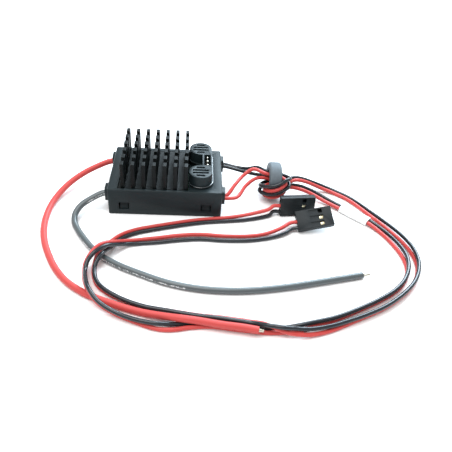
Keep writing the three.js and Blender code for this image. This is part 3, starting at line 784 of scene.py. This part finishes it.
def strands(name, route, length):
    end = Vector(route[-1])
    way = (end - Vector(route[-2])).normalized()
    side = way.orthogonal().normalized()
    up = way.cross(side)
    bundle = bpy.data.curves.new(name, "CURVE")
    bundle.dimensions = "3D"
    bundle.bevel_depth = STRAND_RADIUS * MM
    bundle.bevel_resolution = 2
    bundle.use_fill_caps = True
    for strand in range(STRANDS):
        spline = bundle.splines.new("POLY")
        spline.points.add(STRAND_STEPS)
        for step in range(STRAND_STEPS + 1):
            part = step / STRAND_STEPS
            out = 0 if strand == 0 else STRAND_OUT * (1 - STRAND_CLOSING * part)
            angle = math.radians(TWIST * part) + strand * 2 * math.pi / (STRANDS - 1)
            spread = side * math.cos(angle) + up * math.sin(angle)
            spot = end + way * (length * part - STRAND_SUNK) + spread * out
            spline.points[step].co = (*(spot * MM), 1)
    return placed(name, bundle, TIN)


TIPS = {"red": (RED_SUPPLY, 1.9), "black": (BLACK_SUPPLY, 3.4)}
tip_pieces = {}
for colour, (route, length) in TIPS.items():
    piece = strands(f"supply_strands_{colour}", route, length)
    stands_for(piece, f"supply_tip_{colour}")
    tip_pieces[colour] = piece
print("strands on", list(tip_pieces))


# %% [markdown]
# ## Mouldings with soft edges
# A real moulding has no knife edges: every corner has a small radius that draws a line of light.
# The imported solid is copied, its flat triangles are merged back into whole faces, and a Bevel
# modifier rounds only the corners that are sharper than a set angle.


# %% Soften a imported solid
WELD_GAP = 0.002
FLAT_WITHIN = 1.5
MOULDED_SHARP = 32


def round_corners(piece, width, sharp):
    bevel = piece.modifiers.new("corners", "BEVEL")
    bevel.width = width * MM
    bevel.segments = 2
    bevel.limit_method = "ANGLE"
    bevel.angle_limit = math.radians(sharp)
    bevel.harden_normals = True


def softened(node, width, finish):
    mesh = nodes[node].data.copy()
    mesh.materials.clear()
    shape = bmesh.new()
    shape.from_mesh(mesh)
    bmesh.ops.remove_doubles(shape, verts=shape.verts, dist=WELD_GAP * MM)
    flat = math.radians(FLAT_WITHIN)
    bmesh.ops.dissolve_limit(shape, angle_limit=flat, verts=shape.verts, edges=shape.edges)
    shape.to_mesh(mesh)
    shape.free()
    mesh.shade_smooth()
    piece = placed(f"{node}_finish", mesh, finish)
    round_corners(piece, width, MOULDED_SHARP)
    stands_for(piece, node)


print("solids can be softened")

# %% [markdown]
# Each piece has its own corner width in millimetres, its finish and its slot. The cans have the
# widest corner, for their rolled rim.

# %% Softened pieces
SOFT = {
    "case_cover": (0.14, CASE, "case"),
    "base_plate": (0.12, CASE, "case"),
    "capacitor_shroud": (0.12, CASE, "case"),
    "header_body": (0.08, PLUG, "moulding"),
    "header_pin_1": (0.1, TIN, "tin"),
    "header_pin_2": (0.1, TIN, "tin"),
    "header_pin_3": (0.1, TIN, "tin"),
    "plug_rear_housing": (0.1, PLUG, "moulding"),
    "plug_front_housing": (0.1, PLUG, "moulding"),
    "plug_rear_contact_black": (0.12, GILT, "tin"),
    "plug_rear_contact_red": (0.12, GILT, "tin"),
    "plug_front_contact_black": (0.12, GILT, "tin"),
    "plug_front_contact_red": (0.12, GILT, "tin"),
    "capacitor_front": (0.25, CAN, "can"),
    "capacitor_rear": (0.25, CAN, "can"),
    "marker_sleeve": (0.05, SLEEVE, "sleeve"),
}
for node, (width, finish, slot) in SOFT.items():
    softened(node, width, finish)
print(len(SOFT), "pieces softened")

# %% [markdown]
# ## The shroud's bead
# The shroud stands on a thin rounded bead that is smoother than the textured roof round it, so it
# draws a fine bright line. It is a thin tube along the foot, round one turret and then the other.

# %% Shroud bead
TURRET = {"x": 13.4, "y": 8.3, "radius": 4.92}
BEAD_Z = 12.25
BEAD_RADIUS = 0.2
BEAD_STEPS = 24
BEAD_ARCS = ((TURRET["y"], 70, 0), (-TURRET["y"], 0, -152))


def shroud_bead():
    finish = Finish("polished_edge", (0.02, 0.026, 0.03), 0.14, specular=0.9, Coat_Weight=0.6)
    line = []
    for y, start, end in BEAD_ARCS:
        for step in range(BEAD_STEPS + 1):
            angle = math.radians(start + (end - start) * step / BEAD_STEPS)
            x = TURRET["x"] + TURRET["radius"] * math.cos(angle)
            line.append(Vector((x, y + TURRET["radius"] * math.sin(angle), BEAD_Z)))
    piece = swept("shroud_bead", line, BEAD_RADIUS, finish.material)
    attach(piece, "root")


shroud_bead()
print("bead on the shroud")

# %% [markdown]
# ## The heat sink
# The sink is one extrusion that was sawn across into pins, so the pins stand in straight rows. It
# is built as one mesh: a base block, a thin lip round its foot and a slightly tapered block for
# each pin. Array modifiers could repeat one pin, but a loop keeps every pin in the one mesh. The
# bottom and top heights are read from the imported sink's own box.

# %% Heat sink sizes
PIN_COLUMNS = 7
PIN_ROWS = 6
PIN_PITCH_X = 4
PIN_PITCH_Y = 4.9
PIN_MIDDLE = (-4.2, -0.4)
PIN_FOOT = (1.5, 2.7)
PIN_TIP = (1.35, 2.5)
PIN_SUNK = 0.3
SAWN_SHARP = 30
SAWN_CORNER = 0.12
SINK_LEFT, SINK_RIGHT = -17.9, 8.6
SINK_FRONT, SINK_REAR = -14, 13.2
SINK_LIP = 0.9
SINK_FLANGE = 1
CASE_TOP = 11.5
print("sink", round(SINK_RIGHT - SINK_LEFT, 1), "by", round(SINK_REAR - SINK_FRONT, 1), "mm")


# %% A tapered block
def tapered(shape, middle, foot, tip, z0, z1):
    corners = []
    for z, size in ((z0, foot), (z1, tip)):
        for sx, sy in ((-1, -1), (1, -1), (1, 1), (-1, 1)):
            x = middle[0] + sx * size[0] / 2
            y = middle[1] + sy * size[1] / 2
            corners.append(shape.verts.new(Vector((x, y, z)) * MM))
    low, high = corners[:4], corners[4:]
    shape.faces.new(low[::-1])
    shape.faces.new(high)
    for k in range(4):
        shape.faces.new((low[k], low[(k + 1) % 4], high[(k + 1) % 4], high[k]))


print("blocks can be made")


# %% Heat sink
def heat_sink():
    low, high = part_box("heat_sink")
    bottom, top = low[2] / MM, high[2] / MM
    shape = bmesh.new()
    size = (SINK_RIGHT - SINK_LEFT, SINK_REAR - SINK_FRONT)
    middle = ((SINK_RIGHT + SINK_LEFT) / 2, (SINK_REAR + SINK_FRONT) / 2)
    tapered(shape, middle, size, size, bottom, CASE_TOP)
    wide = (size[0] + SINK_LIP, size[1] + SINK_LIP)
    shifted = (middle[0] - SINK_LIP / 2, middle[1] + SINK_LIP / 2)
    tapered(shape, shifted, wide, wide, bottom, bottom + SINK_FLANGE)
    for column in range(PIN_COLUMNS):
        x = PIN_MIDDLE[0] + (column - (PIN_COLUMNS - 1) / 2) * PIN_PITCH_X
        for row in range(PIN_ROWS):
            y = PIN_MIDDLE[1] + (row - (PIN_ROWS - 1) / 2) * PIN_PITCH_Y
            tapered(shape, (x, y), PIN_FOOT, PIN_TIP, CASE_TOP - PIN_SUNK, top)
    mesh = bpy.data.meshes.new("heat_sink_pins")
    shape.to_mesh(mesh)
    shape.free()
    mesh.shade_smooth()
    piece = placed("heat_sink_pins", mesh, ANODISED)
    round_corners(piece, SAWN_CORNER, SAWN_SHARP)
    stands_for(piece, "heat_sink")


heat_sink()
print(PIN_COLUMNS * PIN_ROWS, "pins")

# %% [markdown]
# ## The ferrite core
# The core is a pressed ring with rounded rims. It could be a torus or a Screw modifier, but a
# rounded rectangle turned by a loop keeps its two radii, its width and its corner as plain
# values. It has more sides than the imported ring, so that its rim is smooth in a close view.

# %% Ferrite profile
CORE_OUTER = 7.2
CORE_INNER = 4.4
CORE_HALF = 2.6
CORE_ROUND = 1
CORNER_STEPS = 5
CORE_SIDES = 96


def core_profile():
    profile = []
    corners = ((CORE_OUTER, 1, 1), (CORE_INNER, -1, 1), (CORE_INNER, -1, -1), (CORE_OUTER, 1, -1))
    for quarter, (edge, outward, up) in enumerate(corners):
        for step in range(CORNER_STEPS + 1):
            angle = math.radians(90 * quarter + 90 * step / CORNER_STEPS)
            rho = edge - outward * CORE_ROUND + CORE_ROUND * math.cos(angle)
            x = up * (CORE_HALF - CORE_ROUND) + CORE_ROUND * math.sin(angle)
            profile.append((x, rho))
    return profile


print(len(core_profile()), "points round the core's section")


# %% Ferrite core
def ferrite_core():
    shape = bmesh.new()
    profile = core_profile()
    rings = []
    for side in range(CORE_SIDES):
        angle = 2 * math.pi * side / CORE_SIDES
        ring = []
        for x, rho in profile:
            y = CORE["y"] + rho * math.cos(angle)
            z = CORE["z"] + rho * math.sin(angle)
            ring.append(shape.verts.new(Vector((CORE["x"] + x, y, z)) * MM))
        rings.append(ring)
    count = len(profile)
    for side in range(CORE_SIDES):
        this, following = rings[side], rings[(side + 1) % CORE_SIDES]
        for k in range(count):
            after = (k + 1) % count
            shape.faces.new((this[k], this[after], following[after], following[k]))
    bmesh.ops.recalc_face_normals(shape, faces=shape.faces)
    mesh = bpy.data.meshes.new("ferrite_ring")
    shape.to_mesh(mesh)
    shape.free()
    mesh.shade_smooth()
    piece = placed("ferrite_ring", mesh, FERRITE)
    stands_for(piece, "ferrite_core")
    return piece


core = ferrite_core()
print("core with", CORE_SIDES, "sides")

# %% [markdown]
# ## Pieces inside the case
# The board and its parts are hidden by the case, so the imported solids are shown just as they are
# and only get their finishes. Finer copies would cost faces that nobody sees.

# %% Inner pieces
INNER = {
    "circuit_board": (BOARD, "board"),
    "thermal_pad": (PAD, "pad"),
    "power_transistor_1": (CHIP, "chip"),
    "power_transistor_2": (CHIP, "chip"),
    "rectifier_diode": (CHIP, "chip"),
    "controller_chip": (CHIP, "chip"),
    "sense_resistor": (CHIP, "chip"),
    "inductor": (FERRITE, "ferrite"),
}
for node, (finish, slot) in INNER.items():
    nodes[node].data.materials.clear()
    nodes[node].data.materials.append(finish)
print(len(INNER), "inner pieces finished")

# %% [markdown]
# ## What is on the leads
# Each lead's far end, stiffness and the pieces on it are listed below, with the core on the rear
# red lead. Each line's length was worked out when the leads were swept; the loop here works out
# where each lead leaves the case and how thick it is, in metres, and keeps none of it.

# %% Cords
ON_LEAD = {
    "supply_lead_red": ("bare", "limp", [tip_pieces["red"]]),
    "supply_lead_black": ("bare", "limp", [tip_pieces["black"]]),
    "output_rear_black": ("plug", "medium", ["plug_rear_contact_black_finish"]),
    "output_rear_red": (
        "plug",
        "medium",
        ["plug_rear_housing_finish", "plug_rear_contact_red_finish", core],
    ),
    "output_front_black": ("plug", "medium", ["plug_front_contact_black_finish"]),
    "output_front_red": (
        "plug",
        "medium",
        ["plug_front_housing_finish", "plug_front_contact_red_finish", "marker_sleeve_finish"],
    ),
}
for name, (far_end, stiffness, with_pieces) in ON_LEAD.items():
    _, _, radius, (x, y) = LEADS[name]
    x * MM
    y * MM
    2 * radius * MM

# %% [markdown]
# ## Floor and light
# A pale floor and broad soft lights keep the shadows faint. The large light behind the object is
# cool and low enough to mirror in the upper faces, which gives black plastic its blue-grey sheen.

# %% Floor
FLOOR_SIZE = 6.0


def make_floor():
    half = FLOOR_SIZE / 2
    corners = [(-half, -half, 0), (half, -half, 0), (half, half, 0), (-half, half, 0)]
    mesh = bpy.data.meshes.new("floor")
    mesh.from_pydata(corners, [], [(0, 1, 2, 3)])
    finish = Finish("pale_floor", (0.93, 0.93, 0.93), 0.9, specular=0.0)
    placed("floor", mesh, finish.material)


make_floor()
print("floor", FLOOR_SIZE, "m square")

# %% Lights and world
WORLD_STRENGTH = 0.68
AIM = (0.02, -0.03, 0)


def soft_light(name, place, size, power, colour):
    lamp = bpy.data.lights.new(name, "AREA")
    lamp.shape = "RECTANGLE"
    lamp.size, lamp.size_y = size
    lamp.energy = power
    lamp.color = colour
    light = bpy.data.objects.new(name, lamp)
    light.location = place
    light.rotation_mode = "QUATERNION"
    light.rotation_quaternion = (Vector(AIM) - Vector(place)).to_track_quat("-Z", "Y")
    bpy.context.scene.collection.objects.link(light)


def make_world(strength):
    world = bpy.data.worlds.new("studio")
    world.use_nodes = True
    background = world.node_tree.nodes["Background"]
    background.inputs["Color"].default_value = (1, 1, 1, 1)
    background.inputs["Strength"].default_value = strength
    bpy.context.scene.world = world


make_world(WORLD_STRENGTH)
soft_light("overhead", place=(-0.15, -0.1, 0.75), size=(0.6, 0.6), power=6, colour=(1, 1, 1))
soft_light("behind", place=(0.3, 0.6, 0.52), size=(0.6, 0.35), power=14, colour=(0.72, 0.88, 1))
bpy.context.scene.view_settings.view_transform = "Standard"
print("lights ready")
